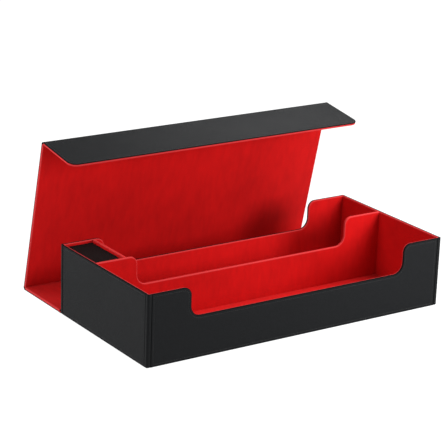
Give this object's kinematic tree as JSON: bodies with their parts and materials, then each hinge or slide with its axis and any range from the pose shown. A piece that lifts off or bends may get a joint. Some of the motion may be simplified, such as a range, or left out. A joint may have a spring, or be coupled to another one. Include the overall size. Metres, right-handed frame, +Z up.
{
  "type": "card deck box",
  "caption": "Long open-topped card storage box with two lengthwise rows and a folding cover of spine, lid and magnetic front flap.",
  "frame": {"origin": "centre of the tray's underside, on the surface that the box stands on", "axes": "+X along the tray's length, to the right as seen from the front; +Y from the front wall to the hinged rear; +Z up"},
  "size_m": [0.51, 0.3528, 0.2442],
  "materials": {
    "black_leather": "satin",
    "red_microfibre": "matte",
    "greyboard": "matte",
    "magnet_nickel": "satin",
    "black_foam": "matte"
  },
  "bodies": {
    "tray": {"base_board": "greyboard", "front_board": "greyboard", "back_board": "greyboard", "left_board": "greyboard", "right_board": "greyboard", "row_divider_board": "greyboard", "bottom_leather": "black_leather", "front_leather": "black_leather", "back_leather": "black_leather", "left_leather": "black_leather", "right_leather": "black_leather", "corner_leather_front_left": "black_leather", "corner_leather_front_right": "black_leather", "corner_leather_back_left": "black_leather", "corner_leather_back_right": "black_leather", "front_lining": "red_microfibre", "back_lining": "red_microfibre", "left_lining": "red_microfibre", "right_lining": "red_microfibre", "front_row_floor_lining": "red_microfibre", "rear_row_floor_lining": "red_microfibre", "divider_front_lining": "red_microfibre", "divider_rear_lining": "red_microfibre", "front_wall_magnets": "magnet_nickel", "spine_fold_leather": "black_leather", "spine_fold_lining": "red_microfibre"},
    "spine": {"spine_board": "greyboard", "spine_leather": "black_leather", "spine_lining": "red_microfibre"},
    "lid_fold": {"lid_fold_leather": "black_leather", "lid_fold_lining": "red_microfibre"},
    "lid": {"lid_board": "greyboard", "lid_leather": "black_leather", "lid_lining": "red_microfibre", "flap_fold_leather": "black_leather", "flap_fold_lining": "red_microfibre"},
    "flap": {"flap_board": "greyboard", "flap_leather": "black_leather", "flap_lining": "red_microfibre", "flap_magnets": "magnet_nickel"},
    "partition": {"partition_board": "greyboard", "partition_lining": "red_microfibre"},
    "foam_block": {"foam_block": "black_foam"}
  },
  "joints": [
    {"name": "spine_fold", "type": "hinge", "parent": "tray", "child": "spine", "pos_m": [0, 0.1229, 0.0016], "axis": [1, 0, 0], "range_deg": [0, 90]},
    {"name": "lid_fold_inner", "type": "hinge", "parent": "spine", "child": "lid_fold", "pos_m": [0, 0.2286, 0.0042], "axis": [1, 0, 0], "range_deg": [-27, 0], "deforming": ["lid_fold_leather", "lid_fold_lining"]},
    {"name": "lid_fold_outer", "type": "hinge", "parent": "lid_fold", "child": "lid", "pos_m": [0, 0.2286, 0.0042], "axis": [1, 0, 0], "range_deg": [-103, 14]},
    {"name": "flap_fold", "type": "hinge", "parent": "lid", "child": "flap", "pos_m": [0, 0.17416, 0.24], "axis": [1, 0, 0], "range_deg": [-85.4, 4.6], "deforming": ["flap_fold_leather", "flap_fold_lining"]},
    {"name": "partition_slide", "type": "slide", "parent": "tray", "child": "partition", "axis": [1, 0, 0], "range_m": [0, 0.45]},
    {"name": "foam_lift", "type": "slide", "parent": "tray", "child": "foam_block", "axis": [0, 0, -1], "range_m": [-0.105, 0]}
  ],
  "couplings": [
    {"joint": "lid_fold_inner", "follows": "spine_fold", "ratio": -0.3}
  ]
}
